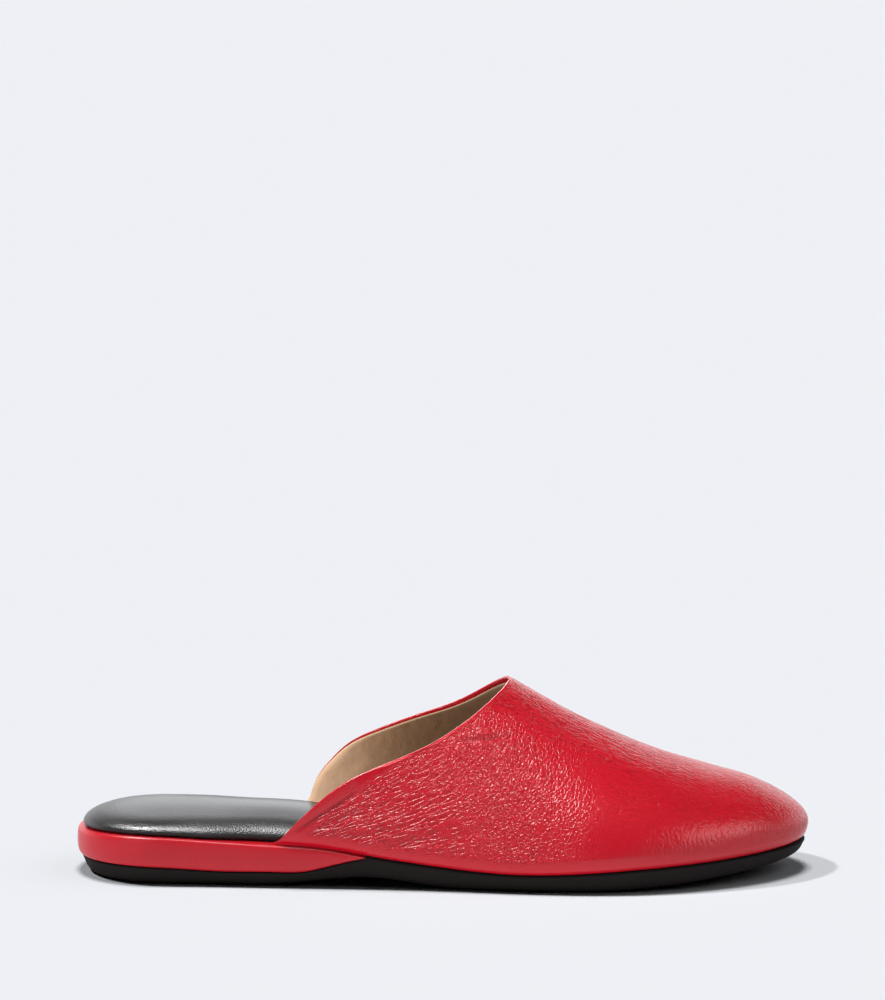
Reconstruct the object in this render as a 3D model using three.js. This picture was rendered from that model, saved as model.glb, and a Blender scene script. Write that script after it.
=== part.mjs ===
// A right-foot backless slipper: a soft leather vamp over a padded insole, a leather-covered heel platform
// and a black outsole with a rounded edge.
// Millimetres. X runs from the heel to the toe, Y to the inner side of the foot and Z up from the floor.

import * as THREE from 'three';
import { mergeVertices } from 'three/addons/utils/BufferGeometryUtils.js';

// Driving dimensions.
const LENGTH = 288;
const HEEL_ROUND = 34;
const TOE_ROUND = 84;
const NOSE_ROUND = 32;
const GAP = 0.3;

const VAMP_WALL = 2.2;
const VAMP_TUCK = 3.5;
const VAMP_TAIL = { outer: 77.1, inner: 85.5 };
const SIDE_RISE = 6;
const RIDGE_SHIFT = 3;

const PLATFORM_FRONT = 112;
const SOLE_TOP_INSET = 2;

// The insole's edge stays clear of the vamp's wall, and comes out to the platform's edge behind it.
const INSOLE_INSET = { heel: 1.8, vamp: 5.2, from: 48, to: 74 };
const INSOLE_CROWN = 0.07;

// How finely each piece is divided: along the foot, across it and round the vamp.
const INSOLE_STATIONS = 40;
const PLATFORM_STATIONS = 24;
const TOE_STATIONS = 22;
const SOLE_ACROSS = 6;
const VAMP_STATIONS = 30;
const UNDER_STEPS = 3;
const OVER_STEPS = 15;

// The last, one row for each section from heel to toe: the axis, the half widths outside and inside it
// before heel and toe are rounded off, the bed that the upper's lower edge follows, the ridge of the instep
// and how much the section narrows on its way up.
const LAST = sections('x mid outer inner bed crown taper', [
  [0, 0, 32, 31.5, 18.4, 123.8, 0.1],
  [10, 0, 32.1, 31.5, 19.2, 123.6, 0.1],
  [40, 0, 32.5, 31.5, 19.2, 122.8, 0.1],
  [78, 0, 35, 30, 17.2, 118.8, 0.1],
  [98, 0, 36.2, 29, 15.7, 110.6, 0.11],
  [114, 0, 37.5, 28.5, 12.9, 102.4, 0.12],
  [140, 0, 40.5, 30.5, 9.35, 89.5, 0.15],
  [168, 0, 44.8, 36.5, 7.15, 76.6, 0.2],
  [190, 0.5, 47.5, 42, 7.5, 64, 0.18],
  [215, 1, 48, 45, 9, 51.6, 0.1],
  [245, 1.5, 46.5, 45, 10.5, 40.8, 0],
  [270, 2, 44, 44, 11.7, 35, -0.05],
  [288, 2.5, 42, 42, 12.6, 31.6, -0.05],
]);

// The topline, one row for each angle round the section, from the widest line to the ridge: how far
// forward the vamp is cut away on its outer and its inner side.
const TOPLINE = sections('turn outer inner', [
  [0, 84.6, 90.7],
  [5, 91.9, 93.3],
  [10, 99.3, 98.2],
  [17, 110.9, 107.2],
  [24, 124.2, 119.4],
  [32, 137.5, 133.3],
  [40, 147.2, 145.9],
  [50, 156.1, 156.2],
  [60, 162.4, 162.5],
  [72, 167.3, 167.4],
  [90, 170.3, 170.3],
]);

// The footbed's top and the underside of the covered platform, along the foot.
const FOOTBED = sections('x top', [
  [0, 24.4], [20, 25.1], [40, 25.2], [60, 25], [86, 24.3], [120, 18.5], [150, 13.4], [180, 12.2], [220, 14],
  [260, 16.2], [288, 17.7],
]);
const PLATFORM = sections('x under', [
  [0, 7], [20, 7.5], [40, 6.9], [60, 6], [78, 6.1], [90, 6.4], [100, 8.8], [112, 12], [120, 14.3],
]);

// The sole's underside: flat under heel and ball, lifted at the arch and at the toe.
const ARCH = { from: 72, top: 114, to: 150, lift: 3.4 };
const TOE_SPRING = { from: 200, lift: 7, power: 1.4 };

// The edges of the flat pieces, one row for each ring from bottom to top: the inset from the widest line
// of the piece, and the share of its height there.
const SOLE_EDGE = rings([[7.2, 0], [5.4, 0.1], [3.6, 0.35], [2.5, 0.7], [SOLE_TOP_INSET, 1]]);
const PLATFORM_EDGE = rings([[2, 0], [0.8, 0.12], [0.1, 0.35], [0, 0.6], [0.6, 0.86], [2.4, 1]]);
const INSOLE_EDGE = rings([[0.8, 0], [0, 0.25], [0.4, 0.55], [2, 0.8], [5, 1 - INSOLE_CROWN]]);

function rings(rows) {
  return rows.map(([inset, share]) => ({ inset, share }));
}

// Turns a table into functions of its first column: a natural cubic through each other column.
function sections(names, rows) {
  const [, ...columns] = names.split(' ');
  const knots = rows.map((row) => row[0]);
  const read = {};
  columns.forEach((name, i) => {
    read[name] = cubic(knots, rows.map((row) => row[i + 1]));
  });
  return read;
}

function cubic(knots, values) {
  const last = knots.length - 1;
  const bend = new Array(last + 1).fill(0);
  const carry = new Array(last + 1).fill(0);
  for (let i = 1; i < last; i++) {
    const before = knots[i] - knots[i - 1];
    const after = knots[i + 1] - knots[i];
    const share = before / (before + after);
    const pivot = share * bend[i - 1] + 2;
    const kink = (values[i + 1] - values[i]) / after - (values[i] - values[i - 1]) / before;
    bend[i] = (share - 1) / pivot;
    carry[i] = ((6 * kink) / (before + after) - share * carry[i - 1]) / pivot;
  }
  for (let i = last - 1; i >= 0; i--) bend[i] = bend[i] * bend[i + 1] + carry[i];
  return (x) => {
    const at = THREE.MathUtils.clamp(x, knots[0], knots[last]);
    let i = 0;
    while (i < last - 1 && at > knots[i + 1]) i++;
    const span = knots[i + 1] - knots[i];
    const b = (at - knots[i]) / span;
    const a = 1 - b;
    const sag = ((a ** 3 - a) * bend[i] + (b ** 3 - b) * bend[i + 1]) * span ** 2 / 6;
    return a * values[i] + b * values[i + 1] + sag;
  };
}

// How much of the full width is left where heel and toe round off.
function rounded(distance, length) {
  if (distance >= length) return 1;
  return Math.sqrt(Math.max(0, 1 - ((length - distance) / length) ** 2));
}

// The widest line in plan. side is -1 on the outer side of the foot and 1 on the inner side.
function planPoint(side, x) {
  const full = side < 0 ? LAST.outer(x) : LAST.inner(x);
  const half = full * rounded(x, HEEL_ROUND) * rounded(LENGTH - x, TOE_ROUND);
  return new THREE.Vector2(x, LAST.mid(x) + side * half);
}

// The same line moved inwards by an inset, square to itself.
function planInset(side, x, inset) {
  const point = planPoint(side, x);
  const step = Math.min(x, LENGTH - x) / 100;
  if (step === 0) return point.setX(x === 0 ? inset : LENGTH - inset);
  const along = planPoint(side, x + step).sub(planPoint(side, x - step)).normalize();
  return point.add(new THREE.Vector2(side * along.y, -side * along.x).multiplyScalar(inset));
}

// A point of the vamp's outer face, at an angle round the section: -90 at the lower edge, 0 on the widest
// line and 90 on the ridge.
function vampPoint(side, turn, x) {
  const angle = THREE.MathUtils.degToRad(turn);
  const widest = LAST.bed(x) + SIDE_RISE;
  if (turn < 0) {
    const edge = planInset(side, x, VAMP_TUCK * (1 - Math.cos(angle)));
    return new THREE.Vector3(edge.x, edge.y, widest + SIDE_RISE * Math.sin(angle));
  }
  const closing = rounded(LENGTH - x, TOE_ROUND);
  const ridge = LAST.mid(x) + RIDGE_SHIFT * closing;
  const reach = planPoint(side, x).y - ridge;
  const narrow = 1 - LAST.taper(x) * Math.sin(angle);
  const rise = (LAST.crown(x) - widest) * rounded(LENGTH - x, NOSE_ROUND);
  return new THREE.Vector3(x, ridge + reach * Math.cos(angle) * narrow, widest + rise * Math.sin(angle));
}

// Where a line of the vamp starts behind: at the topline, or below the widest line at the tail.
function vampStart(name, turn) {
  if (turn >= 0) return TOPLINE[name](turn);
  return THREE.MathUtils.lerp(TOPLINE[name](0), VAMP_TAIL[name], -turn / 90);
}

// The vamp's lines round the section, from the outer lower edge over the ridge to the inner lower edge.
function vampLines() {
  const turns = [];
  for (let i = 0; i < UNDER_STEPS; i++) turns.push(-90 + (90 * i) / UNDER_STEPS);
  for (let i = 0; i <= OVER_STEPS; i++) turns.push((90 * i) / OVER_STEPS);
  const outer = turns.map((turn) => ({ side: -1, turn, start: vampStart('outer', turn) }));
  const inner = turns.map((turn) => ({ side: 1, turn, start: vampStart('inner', turn) }));
  return [...outer, ...inner.reverse().slice(1)];
}

// Both faces of the vamp as grids, from the topline to the nose.
function vampFaces() {
  const lines = vampLines();
  const outside = [];
  for (let i = 0; i <= VAMP_STATIONS; i++) {
    const share = Math.sin((Math.PI / 2) * (i / VAMP_STATIONS));
    outside.push(lines.map(({ side, turn, start }) => {
      return vampPoint(side, turn, THREE.MathUtils.lerp(start, LENGTH, share));
    }));
  }
  const inside = outside.map((row, i) => row.map((point, j) => {
    return point.clone().addScaledVector(faceNormal(outside, i, j), -VAMP_WALL);
  }));
  return { outside, inside };
}

// The normal of a grid at one of its points. At the nose, where the two sides meet, it is the mean of
// both sides'.
function faceNormal(grid, i, j) {
  const last = grid.length - 1;
  const end = grid[0].length - 1;
  if (i === last) {
    return faceNormal(grid, last - 1, j).add(faceNormal(grid, last - 1, end - j)).setY(0).normalize();
  }
  const along = grid[i + 1][j].clone().sub(grid[Math.max(i - 1, 0)][j]);
  const round = grid[i][Math.min(j + 1, end)].clone().sub(grid[i][Math.max(j - 1, 0)]);
  return along.cross(round).normalize();
}

// The same grid with its rows and columns exchanged, which turns its faces round.
function flipped(grid) {
  return grid[0].map((_, j) => grid.map((row) => row[j]));
}

// Triangles of a grid of points, with the shorter diagonal in each cell.
function cells(grid) {
  const corners = [];
  for (let i = 0; i + 1 < grid.length; i++) {
    for (let j = 0; j + 1 < grid[i].length; j++) {
      const [a, b, c, d] = [grid[i][j], grid[i + 1][j], grid[i + 1][j + 1], grid[i][j + 1]];
      if (a.distanceTo(c) <= b.distanceTo(d)) corners.push(a, b, c, a, c, d);
      else corners.push(a, b, d, b, c, d);
    }
  }
  return corners;
}

// One closed geometry from grids that share their borders. Cells that close to a point are dropped.
function weld(grids) {
  const loose = new THREE.BufferGeometry().setFromPoints(grids.flatMap(cells));
  const merged = mergeVertices(loose, 1e-3);
  const index = merged.index.array;
  const kept = [];
  for (let i = 0; i < index.length; i += 3) {
    const [a, b, c] = [index[i], index[i + 1], index[i + 2]];
    if (a !== b && b !== c && c !== a) kept.push(a, b, c);
  }
  return merged.setIndex(kept);
}

function vampGeometry() {
  const { outside, inside } = vampFaces();
  const end = outside[0].length - 1;
  const rim = (pick) => [pick(inside), pick(outside)];
  const topline = rim((face) => face[0]);
  const outerEdge = rim((face) => face.map((row) => row[0]));
  const innerEdge = rim((face) => face.map((row) => row[end]));
  return weld([outside, flipped(inside), topline, flipped(outerEdge), innerEdge]);
}

// A flat piece of the foot's outline: a stack of rings, each with its inset and height along and across the
// foot, closed by a face below and a face above.
function stackGeometry(stations, edge, inset, height) {
  const grids = edge.map((ring) => stations.map((x) => {
    const outer = planInset(-1, x, inset(x) + ring.inset);
    const inner = planInset(1, x, inset(x) + ring.inset);
    const row = [];
    for (let j = 0; j <= SOLE_ACROSS; j++) {
      const across = j / SOLE_ACROSS;
      const point = outer.clone().lerp(inner, across);
      row.push(new THREE.Vector3(point.x, point.y, height(point.x, ring.share, across)));
    }
    return row;
  }));
  const under = grids[0];
  const over = grids[grids.length - 1];
  const heel = grids.map((grid) => grid[0]);
  const front = grids.map((grid) => grid[stations.length - 1]);
  const outerSide = grids.map((grid) => grid.map((row) => row[0]));
  const innerSide = grids.map((grid) => grid.map((row) => row[SOLE_ACROSS]));
  return weld([over, flipped(under), flipped(outerSide), innerSide, flipped(front), heel]);
}

// Stations along the foot, closer together where an end rounds off.
function bothEndsRound(count) {
  return Array.from({ length: count + 1 }, (_, i) => (LENGTH / 2) * (1 - Math.cos((Math.PI * i) / count)));
}

function heelRound(front, count) {
  return Array.from({ length: count + 1 }, (_, i) => front * (1 - Math.cos((Math.PI / 2) * (i / count))));
}

// The sole's stations are the platform's up to its front, so that the two faces run parallel.
function soleStations() {
  const toe = Array.from({ length: TOE_STATIONS }, (_, i) => {
    return THREE.MathUtils.lerp(PLATFORM_FRONT, LENGTH, Math.sin((Math.PI / 2) * ((i + 1) / TOE_STATIONS)));
  });
  return [...heelRound(PLATFORM_FRONT, PLATFORM_STATIONS), ...toe];
}

function soleUnder(x) {
  const { smoothstep } = THREE.MathUtils;
  const arch = ARCH.lift * smoothstep(x, ARCH.from, ARCH.top) * (1 - smoothstep(x, ARCH.top, ARCH.to));
  const along = Math.max(0, (x - TOE_SPRING.from) / (LENGTH - TOE_SPRING.from));
  return arch + TOE_SPRING.lift * along ** TOE_SPRING.power;
}

// The sole's upper face: under the platform at the heel, under the vamp's lower edge in front of it.
function soleOver(x) {
  return Math.min(PLATFORM.under(x), LAST.bed(x)) - GAP;
}

function outsoleGeometry() {
  const height = (x, share) => THREE.MathUtils.lerp(soleUnder(x), soleOver(x), share);
  return stackGeometry(soleStations(), SOLE_EDGE, () => 0, height);
}

function platformGeometry() {
  const height = (x, share) => THREE.MathUtils.lerp(PLATFORM.under(x), LAST.bed(x) - GAP, share);
  return stackGeometry(heelRound(PLATFORM_FRONT, PLATFORM_STATIONS), PLATFORM_EDGE, () => 0, height);
}

// The padded insole: its top ring carries a crown across the foot.
function insoleGeometry() {
  const { heel, vamp, from, to } = INSOLE_INSET;
  const inset = (x) => THREE.MathUtils.lerp(heel, vamp, THREE.MathUtils.smoothstep(x, from, to));
  const topShare = INSOLE_EDGE[INSOLE_EDGE.length - 1].share;
  const height = (x, share, across) => {
    const crown = share === topShare ? INSOLE_CROWN * Math.sin(Math.PI * across) : 0;
    return THREE.MathUtils.lerp(LAST.bed(x) + GAP / 2, FOOTBED.top(x), share + crown);
  };
  return stackGeometry(bothEndsRound(INSOLE_STATIONS), INSOLE_EDGE, inset, height);
}

function piece(name, geometry, color, roughness) {
  const mesh = new THREE.Mesh(geometry, new THREE.MeshStandardMaterial({ color, roughness, metalness: 0 }));
  mesh.name = name;
  return mesh;
}

const slipper = new THREE.Group();
slipper.add(
  piece('outsole', outsoleGeometry(), 0x17171a, 0.7),
  piece('heel_platform', platformGeometry(), 0xc6252f, 0.45),
  piece('insole', insoleGeometry(), 0x1c1b1d, 0.35),
  piece('vamp', vampGeometry(), 0xcf2034, 0.45),
);

// The origin is on the floor under the middle of the slipper.
const box = new THREE.Box3().setFromObject(slipper);
const centre = box.getCenter(new THREE.Vector3());
slipper.children.forEach((mesh) => mesh.position.set(-centre.x, -centre.y, -box.min.z));

export default slipper;
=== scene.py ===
"""A red leather slipper for the right foot, with a tan lining, a padded black insole and a black sole.

Shapes are worked out in millimetres in the last's own frame, with X from heel to toe, Y to the inner side
of the foot and Z up, and are put into the part's frame in metres at the end.
"""

import math
from bisect import bisect_right

import bmesh
import bpy
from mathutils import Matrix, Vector, noise
from mathutils.kdtree import KDTree


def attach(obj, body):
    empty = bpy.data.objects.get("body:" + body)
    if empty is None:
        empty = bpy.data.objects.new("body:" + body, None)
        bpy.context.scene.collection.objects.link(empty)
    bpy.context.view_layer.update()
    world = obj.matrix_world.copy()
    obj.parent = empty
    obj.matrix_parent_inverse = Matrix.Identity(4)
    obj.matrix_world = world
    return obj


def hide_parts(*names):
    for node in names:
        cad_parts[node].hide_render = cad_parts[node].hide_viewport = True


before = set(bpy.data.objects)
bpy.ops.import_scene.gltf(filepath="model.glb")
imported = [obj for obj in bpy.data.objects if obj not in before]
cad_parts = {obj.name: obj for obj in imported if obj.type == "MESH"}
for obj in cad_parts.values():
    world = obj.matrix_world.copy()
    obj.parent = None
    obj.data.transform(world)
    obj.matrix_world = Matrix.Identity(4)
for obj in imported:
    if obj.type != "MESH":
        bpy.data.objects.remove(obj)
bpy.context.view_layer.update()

MM = 0.001
MERGE = 1e-6

# Driving dimensions of the last and its pieces.
LENGTH = 288
HEEL_ROUND = 34
TOE_ROUND = 84
NOSE_ROUND = 32
NOSE_PULL = {"start": 262, "by": 0.7}
GAP = 0.3
SIDE_RISE = 6
RIDGE_SHIFT = 3
VAMP_TUCK = 3.5
VAMP_TAIL = {"outer": 77.1, "inner": 85.5}
LINING_DEPTH = 1.9
LINING_THICK = 0.6
LINING_LOW = -60
PLATFORM_FRONT = 112
PLATFORM_TIP = 115
PLATFORM_SLOPE = 0.28
PLATFORM_THIN = 0.8
FRONT_ROUND = 1.5


def sections(names, rows):
    """Turns a table into functions of its first column: a natural cubic through each other column."""
    knots = [row[0] for row in rows]
    columns = names.split()[1:]
    return {name: cubic(knots, [row[i + 1] for row in rows]) for i, name in enumerate(columns)}


def cubic(knots, values):
    """A smooth curve through the values at the knots: a natural cubic, held level beyond its ends."""
    last = len(knots) - 1
    bend = [0.0] * (last + 1)
    carry = [0.0] * (last + 1)
    for i in range(1, last):
        before = knots[i] - knots[i - 1]
        after = knots[i + 1] - knots[i]
        share = before / (before + after)
        pivot = share * bend[i - 1] + 2
        kink = (values[i + 1] - values[i]) / after - (values[i] - values[i - 1]) / before
        bend[i] = (share - 1) / pivot
        carry[i] = (6 * kink / (before + after) - share * carry[i - 1]) / pivot
    for i in range(last - 1, -1, -1):
        bend[i] = bend[i] * bend[i + 1] + carry[i]

    def at(x):
        x = min(max(x, knots[0]), knots[last])
        i = min(bisect_right(knots, x), last) - 1
        span = knots[i + 1] - knots[i]
        b = (x - knots[i]) / span
        a = 1 - b
        sag = ((a**3 - a) * bend[i] + (b**3 - b) * bend[i + 1]) * span**2 / 6
        return a * values[i] + b * values[i + 1] + sag

    return at


# The last, one row for each section from heel to toe: the axis, the half widths outside and inside it
# before heel and toe are rounded off, the bed under the upper's lower edge, the ridge of the instep and
# how much the section narrows on its way up.
LAST = sections("x mid outer inner bed crown taper", [
    [0, 0, 32, 31.5, 17.8, 123.8, 0.1],
    [10, 0, 32.1, 31.5, 19.1, 123.6, 0.1],
    [40, 0, 32.5, 31.5, 19.2, 122.8, 0.1],
    [78, 0, 35, 30, 17.2, 118.8, 0.1],
    [98, 0, 36.2, 29, 15.7, 110.6, 0.11],
    [114, 0, 37.5, 28.5, 12.9, 102.4, 0.12],
    [140, 0, 40.5, 30.5, 9.35, 89.5, 0.15],
    [168, 0, 44.8, 36.5, 7.15, 76.8, 0.2],
    [190, 0.5, 47.5, 42, 7.5, 64, 0.18],
    [215, 1, 48, 45, 9, 51.6, 0.1],
    [245, 1.5, 46.5, 45, 10.5, 40.8, 0],
    [270, 2, 44, 44, 11.7, 35, -0.05],
    [288, 2.5, 42, 42, 12.6, 31.6, -0.05],
])

# The topline, one row for each angle round the section: how far forward the vamp is cut on either side.
TOPLINE = sections("turn outer inner", [
    [0, 84, 90.8],
    [5, 91.5, 93.4],
    [10, 99, 98.4],
    [17, 110.5, 107],
    [24, 123.8, 118.9],
    [32, 137.2, 132.8],
    [40, 147, 145.3],
    [50, 156, 155.7],
    [60, 162.2, 162.1],
    [72, 167, 167],
    [90, 170, 170],
])

# The leather's thickness, thinned towards its lower edge, and how far below the topline the lining ends.
LEATHER = sections("turn wall", [[-90, 0], [-60, 0.7], [0, 0.8], [25, 1.1], [90, 1.2]])
LINING_DROP = sections("turn outer inner", [
    [LINING_LOW, 6, -0.1], [-20, 3, -0.1], [0, 1, -0.1], [8, 0.6, 0.1],
    [20, 0.9, 0.6], [40, 1.4, 1.2], [90, 1.6, 1.6],
])

FOOTBED = sections("x top", [
    [0, 24.4], [20, 25.1], [40, 25.2], [60, 25], [86, 24.3], [120, 18.5],
    [150, 13.4], [180, 12.2], [220, 14], [260, 16.2], [288, 17.7],
])
PLATFORM = sections("x under", [
    [0, 7], [20, 7.5], [40, 6.9], [60, 6], [78, 6.1], [90, 6.4], [100, 8.8], [112, 12],
])
ARCH = {"start": 72, "top": 114, "end": 150, "lift": 3.4}
TOE_SPRING = {"start": 200, "lift": 7, "power": 1.4}
INSOLE_CROWN = 1.05
INSOLE_INSET = {"back": 2.2, "heel": 1.8, "vamp": 5.2, "heel_from": 16, "start": 48, "end": 74}

# The edges of the flat pieces from bottom to top: the inset from the widest line and the share of the
# height there.
SOLE_EDGE = sections("step inset share", [
    [0, 7.2, 0], [1, 5.4, 0.08], [2, 3.6, 0.33], [3, 2.5, 0.7], [4, 2, 0.93], [4.6, 2.5, 1],
])
PLATFORM_EDGE = sections("step inset share", [
    [0, 2, 0], [1, 0.9, 0.06], [2, 0.2, 0.24], [3, 0, 0.55],
    [4, 0.2, 0.86], [5, 1.2, 0.99], [6, 4, 1],
])
INSOLE_EDGE = sections("step inset share", [
    [0, 0.9, 0], [1, 0.2, 0.2], [2, 0.9, 0.45], [3, 2.8, 0.67],
    [4, 6, 0.84], [5, 10, 0.93], [6, 15, 0.98],
])

# Creases, as soft troughs in the view from the side: the side of the foot, where each starts and where it
# ends along the foot and in height, and its depth and half width. A depth below 0 is a ridge.
OUTER, INNER = -1, 1
VAMP_CREASES = [
    (OUTER, 82.1, 24.3, 112.3, 45.4, -0.45, 2.4),
    (OUTER, 84.6, 21.7, 111.2, 38.9, 0.65, 1),
    (OUTER, 90.1, 21.7, 118.3, 33.3, 0.3, 1.2),
    (OUTER, 146.6, 56.5, 171.8, 58.2, 0.5, 1.0),
    (OUTER, 109.3, 41.9, 108.2, 36.4, 0.3, 0.9),
    (OUTER, 116.3, 43.8, 115.2, 38.3, 0.25, 0.8),
    (OUTER, 98.1, 18, 130.1, 25.1, 0.25, 1.4),
    (OUTER, 116, 15.3, 148, 24, 0.25, 1.5),
    (OUTER, 136, 17, 162, 25.8, 0.2, 1.5),
    (INNER, 91.5, 24.6, 113.3, 42.4, -0.4, 2.4),
    (INNER, 93.5, 20.6, 113.3, 35.4, 0.4, 1.4),
    (INNER, 101.5, 19, 129.4, 30.2, 0.35, 1.5),
    (INNER, 141, 56, 169, 54.7, 0.4, 1.1),
    (INNER, 123.5, 17.2, 153.5, 26, 0.25, 1.5),
]
LINING_CREASES = [
    (INNER, 100.5, 31.6, 113.5, 39.9, 0.9, 2.2),
    (INNER, 97.5, 28.1, 109.5, 34, 0.4, 1.6),
    (INNER, 91.5, 25.7, 99.5, 24, 0.6, 0.9),
    (INNER, 92, 27.9, 98.5, 26.6, 0.35, 0.9),
    (OUTER, 94, 29.6, 108, 38.4, 0.7, 2.2),
    (OUTER, 87, 24.6, 95, 23.6, 0.45, 0.9),
]
LIP_PLACE = 1.9
LIP_SHARE = 0.4
CREASE_TAPER = 0.8

# Slow unevenness of the soft leather.
VAMP_SWELL = {"height": 0.3, "size": 17, "seed": 3}
LINING_SWELL = {"height": 0.2, "size": 14, "seed": 8}
SWELL_FROM_EDGE = (2, 12)

# How finely outlines and lines are followed.
PLAN_STEPS = 400
SLOPE_SPLIT = 100
EVEN_SHARE = 0.75
LEAST_SLANT = 0.2


def smooth(value, low, high):
    """0 below low, 1 above high and an S between them."""
    t = min(max((value - low) / (high - low), 0), 1)
    return t * t * (3 - 2 * t)


def blend(a, b, share):
    return a + (b - a) * share


def rounded(distance, length):
    """How much of the full width is left where an end rounds off."""
    if distance >= length:
        return 1
    return math.sqrt(max(0, 1 - ((length - distance) / length) ** 2))


def side_name(side):
    return "outer" if side == OUTER else "inner"


def plan_point(side, x):
    """The widest line in plan."""
    half = LAST[side_name(side)](x) * rounded(x, HEEL_ROUND) * rounded(LENGTH - x, TOE_ROUND)
    return Vector((x, LAST["mid"](x) + side * half))


def plan_inset(side, x, inset):
    """The same line moved inwards by an inset, square to itself."""
    point = plan_point(side, x)
    step = min(x, LENGTH - x) / SLOPE_SPLIT
    if step == 0:
        return Vector((inset if x == 0 else LENGTH - inset, point.y))
    along = (plan_point(side, x + step) - plan_point(side, x - step)).normalized()
    return point + Vector((side * along.y, -side * along.x)) * inset


def axis_shift():
    """How far the last's axis lies from the middle of its box."""
    places = [LENGTH * i / PLAN_STEPS for i in range(PLAN_STEPS + 1)]
    low = min(plan_point(OUTER, x).y for x in places)
    high = max(plan_point(INNER, x).y for x in places)
    return (low + high) / 2


CENTRE = Vector((LENGTH / 2, axis_shift(), 0))


def placed(point):
    """A point of the last in the part's frame."""
    return (point - CENTRE) * MM


def vamp_point(side, turn, x):
    """A point of the vamp's face: turn is -90 at its lower edge, 0 at its widest and 90 on the ridge."""
    angle = math.radians(turn)
    widest = LAST["bed"](x) + SIDE_RISE
    pull = NOSE_PULL["by"] * smooth(x, NOSE_PULL["start"], LENGTH)
    if turn < 0:
        edge = plan_inset(side, x, VAMP_TUCK * (1 - math.cos(angle)))
        return Vector((edge.x - pull, edge.y, widest + SIDE_RISE * math.sin(angle)))
    ridge = LAST["mid"](x) + RIDGE_SHIFT * rounded(LENGTH - x, TOE_ROUND)
    reach = plan_point(side, x).y - ridge
    narrow = 1 - LAST["taper"](x) * math.sin(angle)
    rise = (LAST["crown"](x) - widest) * rounded(LENGTH - x, NOSE_ROUND)
    return Vector((x - pull, ridge + reach * math.cos(angle) * narrow, widest + rise * math.sin(angle)))


def vamp_start(side, turn):
    """Where a line of the vamp starts behind: at the topline, or below the widest line at the tail."""
    name = side_name(side)
    if turn >= 0:
        return TOPLINE[name](turn)
    return blend(TOPLINE[name](0), VAMP_TAIL[name], -turn / 90)


def vamp_lines(lowest, under, over):
    """Lines round the section as (side, turn), from the outer lower edge over the ridge to the inner."""
    turns = [lowest - lowest * i / under for i in range(under)]
    turns += [90 * i / over for i in range(over + 1)]
    return [(OUTER, turn) for turn in turns] + [(INNER, turn) for turn in reversed(turns[:-1])]


def vamp_rows(lines, starts, count):
    """The vamp's outer face as rows of points from where its lines start to the nose, closest there."""
    rows = []
    for i in range(count + 1):
        t = i / count
        share = math.sin(math.pi / 2 * (EVEN_SHARE * t + (1 - EVEN_SHARE) * t * t))
        rows.append([
            vamp_point(side, turn, blend(start, LENGTH, share))
            for (side, turn), start in zip(lines, starts)
        ])
    return rows


def lining_starts(lines):
    """The starts of the lines moved forward by the lining's drop, measured square to the topline."""
    starts = [vamp_start(side, turn) for side, turn in lines]
    rim = [vamp_point(side, turn, start) for (side, turn), start in zip(lines, starts)]
    moved = []
    for j, ((side, turn), start) in enumerate(zip(lines, starts)):
        across = (rim[min(j + 1, len(rim) - 1)] - rim[max(j - 1, 0)]).normalized()
        along = vamp_point(side, turn, start + 1) - rim[j]
        square = (along - across * along.dot(across)).length
        moved.append(start + LINING_DROP[side_name(side)](turn) / max(square, LEAST_SLANT))
    return moved


def row_normals(rows):
    """The outward normals of a grid of rows. At the nose, where the sides meet, they share their mean."""
    last = len(rows) - 1
    end = len(rows[0]) - 1
    normals = []
    for i in range(last):
        normals.append([])
        for j in range(end + 1):
            along = rows[i + 1][j] - rows[max(i - 1, 0)][j]
            across = rows[i][min(j + 1, end)] - rows[i][max(j - 1, 0)]
            normals[i].append(along.cross(across).normalized())
    nose = [normals[-1][j] + normals[-1][end - j] for j in range(end + 1)]
    normals.append([Vector((n.x, 0, n.z)).normalized() for n in nose])
    return normals


def crease_depth(creases, side, point):
    """How far the creases press a point of one side in. A trough has a low ridge along both its lips."""
    total = 0
    for crease_side, x0, z0, x1, z1, depth, width in creases:
        if crease_side != side:
            continue
        run = Vector((x1 - x0, z1 - z0))
        off = Vector((point.x - x0, point.z - z0))
        share = off.dot(run) / run.length_squared
        if share < 0 or share > 1:
            continue
        distance = abs(off.cross(run)) / run.length / width
        lips = LIP_SHARE * math.exp(-((distance - LIP_PLACE) ** 2))
        trough = math.exp(-distance * distance) - lips
        total += depth * math.sin(math.pi * share) ** CREASE_TAPER * trough
    return total


def swell(point, height, size, seed):
    """How far the leather's slow unevenness lifts a point."""
    return height * noise.noise(point / size + Vector((seed, seed, seed)))


def mapped_grid(columns, rows, place, marks):
    """A grid of columns by rows cells, each corner put where place(column, row) says, with doubles merged.

    marks gives a number at each corner for each attribute that a material reads.
    """
    bm = bmesh.new()
    bmesh.ops.create_grid(bm, x_segments=columns, y_segments=rows, size=1)
    layers = {name: bm.verts.layers.float.new(name) for name in marks}
    for vert in bm.verts:
        column = round((vert.co.x + 1) / 2 * columns)
        row = round((vert.co.y + 1) / 2 * rows)
        vert.co = placed(place(column, row))
        for name, layer in layers.items():
            vert[layer] = marks[name](column, row)
    bmesh.ops.remove_doubles(bm, verts=bm.verts, dist=MERGE)
    bmesh.ops.dissolve_degenerate(bm, edges=bm.edges, dist=MERGE)
    return bm


def object_of(name, bm, material):
    """The object of a finished bmesh."""
    mesh = bpy.data.meshes.new(name)
    bm.to_mesh(mesh)
    bm.free()
    mesh.materials.append(material)
    made = bpy.data.objects.new(name, mesh)
    bpy.context.scene.collection.objects.link(made)
    return made


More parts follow.
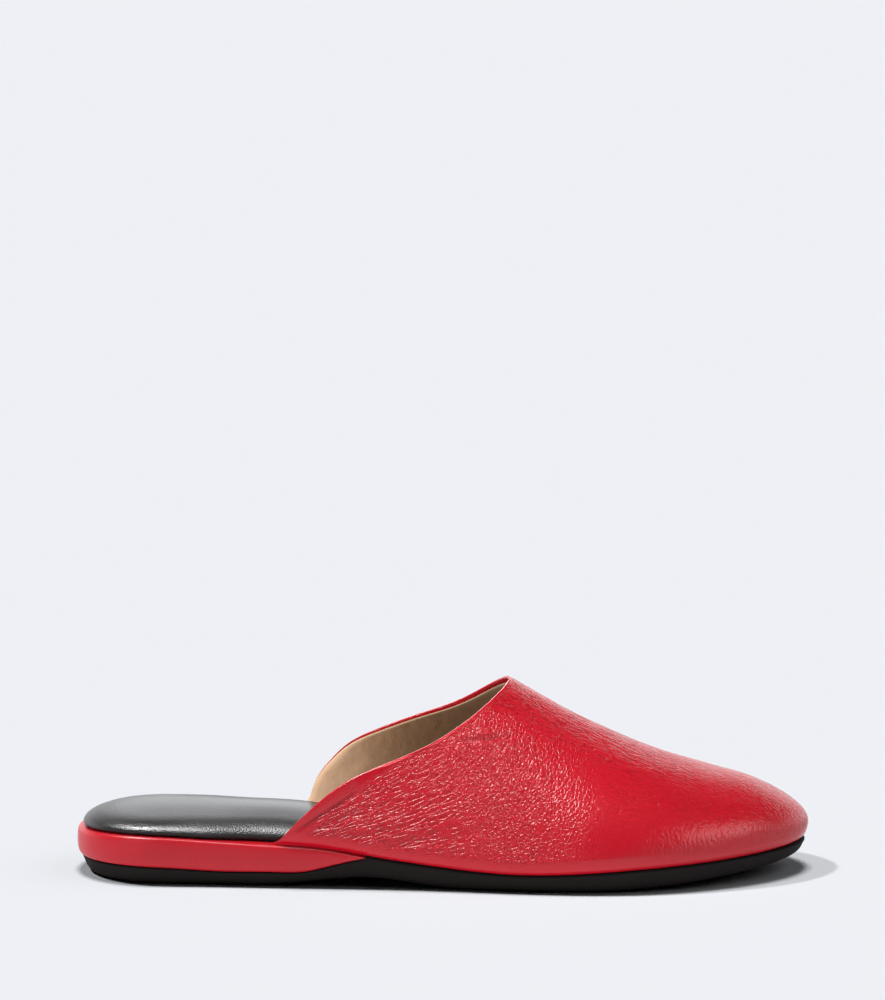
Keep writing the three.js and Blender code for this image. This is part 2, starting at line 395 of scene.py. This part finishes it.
def finished(name, bm, material):
    """A piece of the slipper, smooth shaded, riding on its one body."""
    for face in bm.faces:
        face.smooth = True
    piece = object_of(name, bm, material)
    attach(piece, "root")
    return piece


# Vamp: how many cells its face has below and above the widest line and along the foot, the angles of its
# rolled edge, and the rows of the face that its inside follows, closest at the topline.
VAMP_UNDER, VAMP_OVER, VAMP_ALONG = 14, 132, 250
ROLL_ANGLES = [180, 155, 130, 105, 80, 55, 30]
INSIDE_ROWS = [VAMP_ALONG, 246, 238, 224, 204, 180, 154, 128, 102, 78, 58, 40, 26, 16, 9, 4, 2]


def nearest_distance(points):
    """A function of a point: how far it is from the nearest of these points."""
    tree = KDTree(len(points))
    for i, point in enumerate(points):
        tree.insert(point, i)
    tree.balance()
    return lambda point: tree.find(point)[2]


def vamp_mesh():
    """The leather: its face with the creases, its inside and the edge rolled over at the topline."""
    lines = vamp_lines(-90, VAMP_UNDER, VAMP_OVER)
    skin = vamp_rows(lines, [vamp_start(side, turn) for side, turn in lines], VAMP_ALONG)
    normals = row_normals(skin)
    from_feather = nearest_distance([row[0] for row in skin] + [row[-1] for row in skin])
    depths = [
        [crease_depth(VAMP_CREASES, side, point) for (side, turn), point in zip(lines, row)]
        for row in skin
    ]
    for i, row in enumerate(skin):
        for j, point in enumerate(row):
            lift = swell(point, **VAMP_SWELL) * smooth(from_feather(point), *SWELL_FROM_EDGE)
            row[j] = point + normals[i][j] * (lift - depths[i][j])
    from_topline = nearest_distance(skin[0])
    end = len(lines) - 1
    walls = [LEATHER["wall"](turn) for side, turn in lines]
    away = []
    for j in range(end + 1):
        across = (skin[0][min(j + 1, end)] - skin[0][max(j - 1, 0)]).normalized()
        away.append(normals[0][j].cross(across).normalized())
        skin[0][j] = skin[0][j] - away[j] * walls[j] / 2

    def inside(i):
        return [point - n * wall for point, n, wall in zip(skin[i], normals[i], walls)]

    def rolled(degrees):
        angle = math.radians(degrees)
        row = []
        for j in range(end + 1):
            n = normals[0][j]
            arm = n * (math.cos(angle) - 1) + away[j] * math.sin(angle)
            row.append(skin[0][j] + arm * walls[j] / 2)
        return row

    hidden = [inside(i) for i in INSIDE_ROWS] + [rolled(degrees) for degrees in ROLL_ANGLES]
    rows = hidden + skin
    marks = {
        "pressed": lambda column, row: depths[row - len(hidden)][column] if row >= len(hidden) else 0,
        "turn": lambda column, row: lines[column][1] / 90,
        "from_topline": lambda column, row: from_topline(rows[row][column]),
        "from_feather": lambda column, row: from_feather(rows[row][column]),
    }
    return mapped_grid(end, len(rows) - 1, lambda column, row: rows[row][column], marks)


# Lining.
LINING_UNDER, LINING_OVER, LINING_ALONG = 8, 70, 90


def lining_mesh():
    """The inner face of the lining, close under the leather."""
    lines = vamp_lines(LINING_LOW, LINING_UNDER, LINING_OVER)
    rows = vamp_rows(lines, lining_starts(lines), LINING_ALONG)
    normals = row_normals(rows)
    for i, row in enumerate(rows):
        for j, point in enumerate(row):
            dent = crease_depth(LINING_CREASES, lines[j][0], point) + swell(point, **LINING_SWELL)
            row[j] = point - normals[i][j] * (LINING_DEPTH - dent)
    from_edge = nearest_distance(rows[0])
    marks = {"from_edge": lambda column, row: from_edge(rows[row][column])}
    return mapped_grid(len(lines) - 1, LINING_ALONG, lambda column, row: rows[row][column], marks)


# Flat pieces of the foot's outline. Their lids close on a line along the middle, short of the toe.
OUTLINE_STEPS = 320
LID_SHARES = [0.2, 0.45, 0.7, 0.9, 1]
LID_REACH = 20
SPINE_STOP = 0.6 * TOE_ROUND


def outline_mesh(front, inset, edge, edge_steps, last_step, height):
    """A closed pad with the foot's outline up to a front: rings up its edge, and a lid above and below.

    inset(x) draws the whole piece in, edge gives each ring's inset and share of the height, and
    height(x, share, lid) the height of a point, where lid runs from 0 on the edge to 1 in the middle
    of the upper lid.
    """
    def ring_point(column, extra):
        turn = 2 * column / OUTLINE_STEPS
        side = OUTER if turn <= 1 else INNER
        reach = turn if turn <= 1 else 2 - turn
        x = front / 2 * (1 - math.cos(math.pi * reach))
        point = plan_inset(side, x, inset(x) + extra)
        if front < LENGTH:
            middle = LAST["mid"](x)
            point.y = middle + (point.y - middle) * rounded(front - x, FRONT_ROUND)
        return point

    def spine_point(x):
        x = min(max(x, HEEL_ROUND), max(front - SPINE_STOP, HEEL_ROUND))
        return (plan_point(OUTER, x) + plan_point(INNER, x)) / 2

    steps = [last_step * i / edge_steps for i in range(edge_steps + 1)]
    rings = [(0, lid) for lid in reversed(LID_SHARES)]
    rings += [(step, 0) for step in steps]
    rings += [(last_step, lid) for lid in LID_SHARES]

    def place(column, row):
        step, lid = rings[row]
        point = ring_point(column, edge["inset"](step))
        point = point.lerp(spine_point(point.x), lid)
        above = lid if row > len(LID_SHARES) else 0
        return Vector((point.x, point.y, height(point.x, edge["share"](step), above)))

    def inward(column, row):
        step, lid = rings[row]
        return edge["inset"](step) + LID_REACH * lid

    return mapped_grid(OUTLINE_STEPS, len(rings) - 1, place, {"inward": inward})


def no_inset(x):
    return 0


def sole_under(x):
    """The underside of the sole: lifted at the arch and again towards the toe."""
    arch = ARCH["lift"] * smooth(x, ARCH["start"], ARCH["top"]) * (1 - smooth(x, ARCH["top"], ARCH["end"]))
    along = max(0, (x - TOE_SPRING["start"]) / (LENGTH - TOE_SPRING["start"]))
    return arch + TOE_SPRING["lift"] * along ** TOE_SPRING["power"]


def sole_over(x):
    """The top of the sole: under the platform, and in front of it under the vamp."""
    if x > PLATFORM_FRONT:
        return LAST["bed"](x) - GAP
    return min(PLATFORM["under"](x), LAST["bed"](x) - PLATFORM_THIN) - GAP


def outsole_mesh():
    def height(x, share, lid):
        return blend(sole_under(x), sole_over(x), share)

    return outline_mesh(LENGTH, no_inset, SOLE_EDGE, edge_steps=18, last_step=4.6, height=height)


def platform_mesh():
    def height(x, share, lid):
        over = LAST["bed"](x) - GAP
        under = min(PLATFORM["under"](x) + max(0, x - PLATFORM_FRONT) * PLATFORM_SLOPE, over)
        return blend(under, over, min(share, 1))

    return outline_mesh(PLATFORM_TIP, no_inset, PLATFORM_EDGE, edge_steps=20, last_step=6, height=height)


def insole_mesh():
    def inset(x):
        heel = blend(INSOLE_INSET["back"], INSOLE_INSET["heel"], smooth(x, 0, INSOLE_INSET["heel_from"]))
        return blend(heel, INSOLE_INSET["vamp"], smooth(x, INSOLE_INSET["start"], INSOLE_INSET["end"]))

    def height(x, share, lid):
        crowned = share + (INSOLE_CROWN - share) * math.sin(math.pi / 2 * lid)
        return blend(LAST["bed"](x) + GAP / 2, FOOTBED["top"](x), crowned if lid else share)

    return outline_mesh(LENGTH, inset, INSOLE_EDGE, edge_steps=26, last_step=6, height=height)


# Materials.
def srgb(red, green, blue):
    """A colour given as it looks on a screen, in the renderer's linear light."""
    shares = [value / 255 for value in (red, green, blue)]
    return tuple(s / 12.92 if s <= 0.04045 else ((s + 0.055) / 1.055) ** 2.4 for s in shares) + (1,)


class Wire:
    """One output in a material. Arithmetic on wires adds Math nodes."""

    def __init__(self, recipe, socket):
        self.recipe = recipe
        self.socket = socket

    def __add__(self, other):
        return self.recipe.maths("ADD", self, other)

    def __sub__(self, other):
        return self.recipe.maths("SUBTRACT", self, other)

    def __rsub__(self, other):
        return self.recipe.maths("SUBTRACT", other, self)

    def __mul__(self, other):
        return self.recipe.maths("MULTIPLY", self, other)

    def __truediv__(self, other):
        return self.recipe.maths("DIVIDE", self, other)

    __radd__ = __add__
    __rmul__ = __mul__


class Recipe:
    """A node tree that is written as expressions."""

    def __init__(self, tree):
        self.tree = tree
        tree.nodes.clear()

    def node(self, kind, settings, inputs, output=0):
        """Adds any node: its settings first, then the values or wires of its sockets."""
        made = self.tree.nodes.new(kind)
        for name, value in settings.items():
            setattr(made, name, value)
        for name, value in inputs.items():
            if isinstance(value, Wire):
                self.tree.links.new(value.socket, made.inputs[name])
            else:
                made.inputs[name].default_value = value
        return Wire(self, made.outputs[output])

    def maths(self, operation, a, b=0):
        return self.node("ShaderNodeMath", {"operation": operation}, {0: a, 1: b})

    def split(self, vector):
        made = self.node("ShaderNodeSeparateXYZ", {}, {0: vector}).socket.node
        return [Wire(self, socket) for socket in made.outputs]

    def joined(self, x, y, z):
        return self.node("ShaderNodeCombineXYZ", {}, {0: x, 1: y, 2: z})

    def millimetres(self):
        """Where a point is on the piece, in millimetres."""
        place = self.node("ShaderNodeTexCoord", {}, {}, "Object")
        return self.node("ShaderNodeVectorMath", {"operation": "SCALE"}, {0: place, "Scale": 1 / MM})

    def mark(self, name):
        return self.node("ShaderNodeAttribute", {"attribute_name": name}, {}, "Fac")

    def step(self, value, low, high):
        """0 below low, 1 above high and an S between them."""
        settings = {"interpolation_type": "SMOOTHSTEP"}
        inputs = {"Value": value, "From Min": low, "From Max": high}
        return self.node("ShaderNodeMapRange", settings, inputs)

    def noise(self, vector, size, detail=2.0, output="Fac"):
        inputs = {"Vector": vector, "Scale": 1 / size, "Detail": detail}
        return self.node("ShaderNodeTexNoise", {}, inputs, output)

    def shaken(self, vector, size, amount):
        """The same places, each moved a little by noise."""
        colour = self.noise(vector, size, output="Color")
        half = (0.5, 0.5, 0.5)
        centred = self.node("ShaderNodeVectorMath", {"operation": "SUBTRACT"}, {0: colour, 1: half})
        pushed = self.node("ShaderNodeVectorMath", {"operation": "SCALE"}, {0: centred, "Scale": amount})
        return self.node("ShaderNodeVectorMath", {"operation": "ADD"}, {0: vector, 1: pushed})

    def pebbles(self, vector, size):
        """Domed grains of a size, 1 on top and lowest in the lines where they meet."""
        reach = self.node("ShaderNodeTexVoronoi", {}, {"Vector": vector, "Scale": 1 / size}, "Distance")
        return 1 - 1.5 * reach * reach

    def grooves(self, vector, size, width):
        """Cells of a size with flat tops, parted by grooves: 0 in a groove and 1 beside it."""
        settings = {"feature": "DISTANCE_TO_EDGE"}
        inputs = {"Vector": vector, "Scale": 1 / size}
        edge = self.node("ShaderNodeTexVoronoi", settings, inputs, "Distance")
        return self.step(edge, 0, width / size)

    def ridges(self, vector, size, width):
        """Thin raised lines that part cells of a size: 1 on a line and 0 beside it."""
        return 1 - self.grooves(vector, size, width)

    def mix(self, share, a, b):
        settings = {"data_type": "RGBA"}
        return self.node("ShaderNodeMix", settings, {0: share, 6: a, 7: b}, 2)

    def bump(self, height, depth):
        """A normal from a relief, where a height of 1 is a depth in millimetres."""
        inputs = {"Height": height, "Strength": 1.0, "Distance": depth * MM}
        return self.node("ShaderNodeBump", {}, inputs)

    def surface(self, **inputs):
        """The material's shader, with its sockets' names in small letters."""
        sockets = {}
        for name, value in inputs.items():
            sockets[name.replace("_", " ").title().replace("Ior", "IOR")] = value
        shader = self.node("ShaderNodeBsdfPrincipled", {}, sockets)
        self.output("ShaderNodeOutputMaterial", shader)

    def output(self, kind, shader):
        end = self.tree.nodes.new(kind)
        self.tree.links.new(shader.socket, end.inputs["Surface"])


def new_material(name):
    material = bpy.data.materials.new(name)
    material.use_nodes = True
    return material, Recipe(material.node_tree)


RED = srgb(220, 14, 38)
# Painted shade for the grain's hollows and the toe.
RED_SHADE = srgb(190, 6, 26)
# Painted shade along the creases.
RED_CREASE_SHADE = srgb(140, 4, 16)
RED_SMOOTH = srgb(206, 18, 36)
TAN = srgb(188, 155, 127)
# Painted shade deep inside the slipper.
TAN_SHADE = srgb(180, 138, 103)
TAN_EDGE = srgb(216, 184, 148)
BLACK_LEATHER = srgb(18, 17, 18)
BLACK_SOLE = srgb(37, 33, 32)
FLOOR = srgb(240, 242, 247)

# The wrinkles at the back of the vamp fan out from a point behind and below it.
FAN = Vector((-126, 0, -11.5))
FAN_REACH = 110

# The sizes of the grain's cells and of the lines between them, how far a pattern is drawn out along its
# lines, and the slopes that the lines follow.
NET = {"size": 1.45, "width": 0.32}
FINE_NET = {"size": 1.0, "width": 0.28}
RIDGE_LINES = {"size": 2.0, "width": 0.4}
CRINKLES = {"size": 1.5, "width": 0.35}
DRAWN_OUT = 0.25
RIDGE_DRAWN_OUT = 0.2
CRINKLES_DRAWN_OUT = 0.4
CRINKLES_SLOPE = 0.25
COMB_DRAWN_OUT = 0.3
RIDGE_RUN, RIDGE_FALL = 0.92, 0.39

# Where the grain changes: along the foot from the middle of the slipper, round the section as a share of
# the way from the widest line to the ridge, and inwards from the lower edge.
BACK_ZONE = (-8, 36)
FRONT_ZONE = (18, 54)
PAST_BALL_ZONE = (46, 70)
TOE_ZONE = (50, 100)
RIDGE_END = (75, 115)
RIDGE_SIDE = (0.45, 0.7)
LOW_SIDE = (0.05, 0.42)
MARGIN = (4.5, 8.0)

# The smooth strip along the topline, which is wide behind and narrow in front.
STRIP_NARROW = 1.8
STRIP_WIDER = 5.2
STRIP_ZONE = (-42, -14)
STRIP_FADE = (0.6, 1.0)

# The heights of the grain and the depths of the creases between which painted shade darkens the red.
GRAIN_SHADE = (0, 0.7)
CREASE_SHADE = (0.15, 1.0)


def grained_leather():
    material, r = new_material("red_grained_leather")
    place = r.millimetres()
    x, y, z = r.split(place)
    turn = r.mark("turn")
    flat = r.joined(x, y * DRAWN_OUT, z)
    net = r.ridges(r.shaken(flat, size=2.0, amount=1.0), **NET)
    fine_net = r.ridges(r.shaken(flat, size=1.6, amount=0.8), **FINE_NET)

    run = x - FAN.x
    rise = z - FAN.z
    reach = r.maths("SQRT", run * run + rise * rise)
    angle = r.maths("ARCTAN2", rise, run)
    fan = r.joined(reach * DRAWN_OUT, y * DRAWN_OUT, angle * FAN_REACH)
    wrinkles = r.ridges(r.shaken(fan, size=2.5, amount=1.0), **NET)

    down_ridge = (x * RIDGE_RUN - z * RIDGE_FALL) * RIDGE_DRAWN_OUT
    ridge_run = r.joined(down_ridge, y, x * RIDGE_FALL + z * RIDGE_RUN)
    ridge_lines = r.grooves(r.shaken(ridge_run, size=2.5, amount=1.2), **RIDGE_LINES)
    crinkle_run = r.joined(x * CRINKLES_DRAWN_OUT, y, z + CRINKLES_SLOPE * x)
    crinkles = r.grooves(r.shaken(crinkle_run, size=2.5, amount=1.2), **CRINKLES)
    comb_run = r.joined(x, y, z * COMB_DRAWN_OUT)
    comb = r.pebbles(r.shaken(comb_run, size=2.0, amount=0.6), size=1.3)
    fine = r.pebbles(r.shaken(place, size=3.0, amount=0.8), size=0.9)

    at_back = 1 - r.step(x, *BACK_ZONE)
    on_ridge = r.step(turn, *RIDGE_SIDE) * (1 - r.step(x, *RIDGE_END))
    at_front = r.step(x, *FRONT_ZONE)
    past_ball = r.step(x, *PAST_BALL_ZONE)
    at_toe = r.step(x, *TOE_ZONE)
    low = 1 - r.step(turn, *LOW_SIDE)
    fan_share = at_back * (0.35 + 0.65 * low) * (1 - on_ridge)
    lines = net * (1 - fan_share) + wrinkles * fan_share + 0.35 * fine_net
    front_lines = 0.8 * crinkles * (1 - low) + (0.5 * fine + comb * at_toe) * low
    height = lines * (1 - past_ball) + front_lines * past_ball
    height = height * (1 - on_ridge) + (ridge_lines * 1.3 + 0.3 * net) * on_ridge

    patches = r.noise(place, size=5.0)
    strip = STRIP_NARROW + STRIP_WIDER * (1 - r.step(x, *STRIP_ZONE))
    past_strip = r.step(r.mark("from_topline") / strip, *STRIP_FADE)
    margin = r.step(r.mark("from_feather"), *MARGIN) * (0.1 + 0.9 * past_strip)
    fading = 1 - (0.6 - 0.2 * at_toe) * at_front * (1 - on_ridge)
    strength = margin * (0.5 + patches) * fading
    relief = height * strength + 0.3 * strength * r.noise(place, size=2.2)
    # Painted shade: the red is darker in the grain's hollows, and darker again towards the toe.
    grain_shade = r.mix(r.step(height, *GRAIN_SHADE), RED_SHADE, RED)
    colour = r.mix(0.5 * at_toe, r.mix(strength, RED, grain_shade), RED_SHADE)
    # Painted shade: the red is darker along the creases, by how deep they are pressed.
    colour = r.mix(r.step(r.mark("pressed"), *CREASE_SHADE), colour, RED_CREASE_SHADE)
    rough = 0.23 + 0.03 * at_front
    r.surface(base_color=colour, roughness=rough, normal=r.bump(relief, depth=0.19))
    return material


def smooth_leather():
    material, r = new_material("red_smooth_leather")
    place = r.millimetres()
    grain = r.pebbles(r.shaken(place, size=2.0, amount=0.4), size=0.7)
    relief = grain * 0.4 + r.noise(place, size=5.0)
    colour = r.mix(r.noise(place, size=12.0), RED_SMOOTH, RED)
    rough = 0.3 + 0.1 * r.noise(place, size=3.0)
    r.surface(base_color=colour, roughness=rough, normal=r.bump(relief, depth=0.05))
    return material


# The lining has a pale cut edge except far back, and is painted darker towards the toe as shade, where it
# lies deeper inside the slipper.
LINING_EDGE = (0.2, 0.7)
LINING_EDGE_ZONE = (-50, -36)
LINING_SHADE_ZONE = (-40, 0)
LINING_MOTTLE = 30


def lining_leather():
    material, r = new_material("tan_lining_leather")
    place = r.millimetres()
    along = r.split(place)[0]
    edge = r.step(along, *LINING_EDGE_ZONE) * (1 - r.step(r.mark("from_edge"), *LINING_EDGE))
    mottle = r.noise(place, size=9.0, detail=3.0)
    grain = r.pebbles(r.shaken(place, size=2.0, amount=0.5), size=0.9)
    relief = grain * 0.1 + r.noise(place, size=4.0, detail=3.0) + 3 * r.noise(place, size=9.0)
    # Painted shade: the tan darkens towards the toe, deeper inside the slipper.
    shade_share = r.step(along + LINING_MOTTLE * mottle, *LINING_SHADE_ZONE)
    colour = r.mix(edge, r.mix(shade_share, TAN, TAN_SHADE), TAN_EDGE)
    rough = 0.62 + 0.1 * mottle
    normal = r.bump(relief, depth=0.3)
    r.surface(base_color=colour, roughness=rough, normal=normal, specular_ior_level=0.3)
    return material


# The insole's rounded shoulder has the most grain, and is duller in front of the heel.
SHOULDER = (4, 17)
DULL_ZONE = (-112, -94)


def insole_leather():
    material, r = new_material("black_satin_leather")
    place = r.millimetres()
    shoulder = 1 - r.step(r.mark("inward"), *SHOULDER)
    grain = r.pebbles(r.shaken(place, size=1.5, amount=0.4), size=0.65)
    relief = grain * (0.2 + 0.6 * shoulder) + 0.15 * r.noise(place, size=9.0)
    dull = shoulder * r.step(r.split(place)[0], *DULL_ZONE)
    rough = 0.25 + 0.07 * shoulder + 0.13 * dull
    r.surface(base_color=BLACK_LEATHER, roughness=rough, normal=r.bump(relief, depth=0.11))
    return material


def sole_rubber():
    material, r = new_material("black_sole_rubber")
    place = r.millimetres()
    normal = r.bump(r.noise(place, size=0.5, detail=4.0), depth=0.03)
    rough = 0.65 + 0.15 * r.noise(place, size=8.0)
    r.surface(base_color=BLACK_SOLE, roughness=rough, normal=normal, specular_ior_level=0.1)
    return material


def floor_paint():
    material, r = new_material("pale_floor")
    r.surface(base_color=FLOOR, roughness=1.0, specular_ior_level=0.0)
    return material


# Pieces.
vamp = finished("vamp_leather", vamp_mesh(), grained_leather())
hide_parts("vamp")

lining = finished("vamp_lining", lining_mesh(), lining_leather())
wall = lining.modifiers.new("thickness", "SOLIDIFY")
wall.thickness = LINING_THICK * MM
wall.offset = 1

insole = finished("padded_insole", insole_mesh(), insole_leather())
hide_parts("insole")

platform = finished("covered_platform", platform_mesh(), smooth_leather())
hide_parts("heel_platform")

outsole = finished("black_outsole", outsole_mesh(), sole_rubber())
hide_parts("outsole")

# Floor, light and camera, in metres and degrees.
FLOOR_SIZE = 30
CAMERA_DISTANCE = 1.8
CAMERA_ELEVATION = math.radians(13.5)
CAMERA_SIDE = -0.0006
AIM_HEIGHT = 0.1466
LENS = 164.1
CARD_SIZE = 0.012

# The sweep round the slipper: where its parts begin and end in the direction they are seen, and how bright
# they are.
SWEEP_TOP = (0.2, 0.55)
SWEEP_BACK = (-0.2, 0.5)
SWEEP_RIGHT = (0.1, 0.6)
SWEEP_COLOUR = (0.97, 0.98, 1, 1)
OVERHEAD_GLOW = 0.12
FRONT_GLOW = 0.05
BACK_GLOW = 1.5
RIGHT_GLOW = 0.45


def add_floor():
    bm = bmesh.new()
    bmesh.ops.create_grid(bm, x_segments=2, y_segments=2, size=FLOOR_SIZE / 2)
    object_of("floor", bm, floor_paint())


def add_lamp(name, kind, strength, only):
    """A lamp of a kind, which may light the pieces of one collection only."""
    light = bpy.data.lights.new(name, kind)
    light.energy = strength
    lamp = bpy.data.objects.new(name, light)
    lamp.light_linking.receiver_collection = only
    bpy.context.scene.collection.objects.link(lamp)
    return lamp


def add_sun(name, towards, strength, softness, only=None, diffuse=True, glossy=True):
    """A distant soft box, seen from the slipper in the direction towards."""
    lamp = add_lamp(name, "SUN", strength, only)
    lamp.data.angle = math.radians(softness)
    lamp.rotation_euler = Vector(towards).to_track_quat("Z", "Y").to_euler()
    lamp.visible_diffuse = diffuse
    lamp.visible_glossy = glossy


def add_card(name, place, strength, only):
    """A small reflector close to the slipper, at a place in millimetres."""
    lamp = add_lamp(name, "POINT", strength, only)
    lamp.data.shadow_soft_size = CARD_SIZE
    lamp.location = Vector(place) * MM
    lamp.visible_glossy = False


def lit(name, pieces):
    """A collection of the pieces that a lamp is kept to."""
    group = bpy.data.collections.new(name)
    for piece in pieces:
        group.objects.link(piece)
    return group


def add_studio():
    """What the slipper mirrors: a pale sweep, bright low down behind it and dim in front and overhead."""
    world = bpy.data.worlds.new("studio")
    bpy.context.scene.world = world
    world.use_nodes = True
    world.cycles_visibility.diffuse = False
    r = Recipe(world.node_tree)
    direction = r.node("ShaderNodeTexCoord", {}, {}, "Generated")
    x, y, z = r.split(direction)
    low = 1 - r.step(z, *SWEEP_TOP)
    behind = r.step(y, *SWEEP_BACK)
    right = r.step(x, *SWEEP_RIGHT)
    strength = OVERHEAD_GLOW + low * (FRONT_GLOW + BACK_GLOW * behind + RIGHT_GLOW * right * (1 - behind))
    shader = r.node("ShaderNodeBackground", {}, {"Color": SWEEP_COLOUR, "Strength": strength})
    r.output("ShaderNodeOutputWorld", shader)


def add_camera():
    flat = CAMERA_DISTANCE * math.cos(CAMERA_ELEVATION)
    place = Vector((CAMERA_SIDE, -flat, CAMERA_DISTANCE * math.sin(CAMERA_ELEVATION)))
    aim = Vector((CAMERA_SIDE, 0, AIM_HEIGHT)) - place
    data = bpy.data.cameras.new("camera")
    data.lens = LENS
    camera = bpy.data.objects.new("camera", data)
    camera.location = place
    camera.rotation_euler = aim.to_track_quat("-Z", "Y").to_euler()
    bpy.context.scene.collection.objects.link(camera)
    bpy.context.scene.camera = camera


add_floor()
add_studio()

# The red leather throws no red light on the floor and the lining.
vamp.visible_diffuse = False
platform.visible_diffuse = False

# The first lamps light and shade the slipper, the gloss lamps are only mirrored in one leather each, and
# the card brightens the lining.
outside = lit("outside", [vamp, insole, platform, outsole])
upper_only = lit("upper_only", [vamp])
insole_only = lit("insole_only", [insole])
covers_only = lit("covers_only", [platform])
inside = lit("inside", [lining])
add_sun("key", (-0.5, 0.0, 0.86), strength=1.15, softness=5, glossy=False)
add_sun("top", (0.0, 0.03, 1.0), strength=1.85, softness=16, glossy=False)
add_sun("right", (0.75, 0.0, 0.66), strength=0.35, softness=50, glossy=False)
add_sun("front", (-0.55, -0.8, 0.25), strength=0.9, softness=40, only=outside, glossy=False)
add_sun("grain_gloss", (-0.34, -0.36, 0.87), strength=4.4, softness=26, only=upper_only, diffuse=False)
add_sun("inner_gloss", (-0.2, 0.8, 0.6), strength=2.0, softness=30, only=upper_only, diffuse=False)
add_sun("side_gloss", (0.75, -0.5, 0.43), strength=0.8, softness=35, only=upper_only, diffuse=False)
add_sun("insole_gloss", (-0.28, -0.11, 0.95), strength=12.0, softness=22, only=insole_only, diffuse=False)
add_sun("cover_gloss", (-0.34, -0.11, 0.93), strength=5.0, softness=20, only=covers_only, diffuse=False)
add_card("lining_card", (-68, -2, 38), strength=0.08, only=inside)
add_camera()
bpy.context.scene.view_settings.view_transform = "Standard"
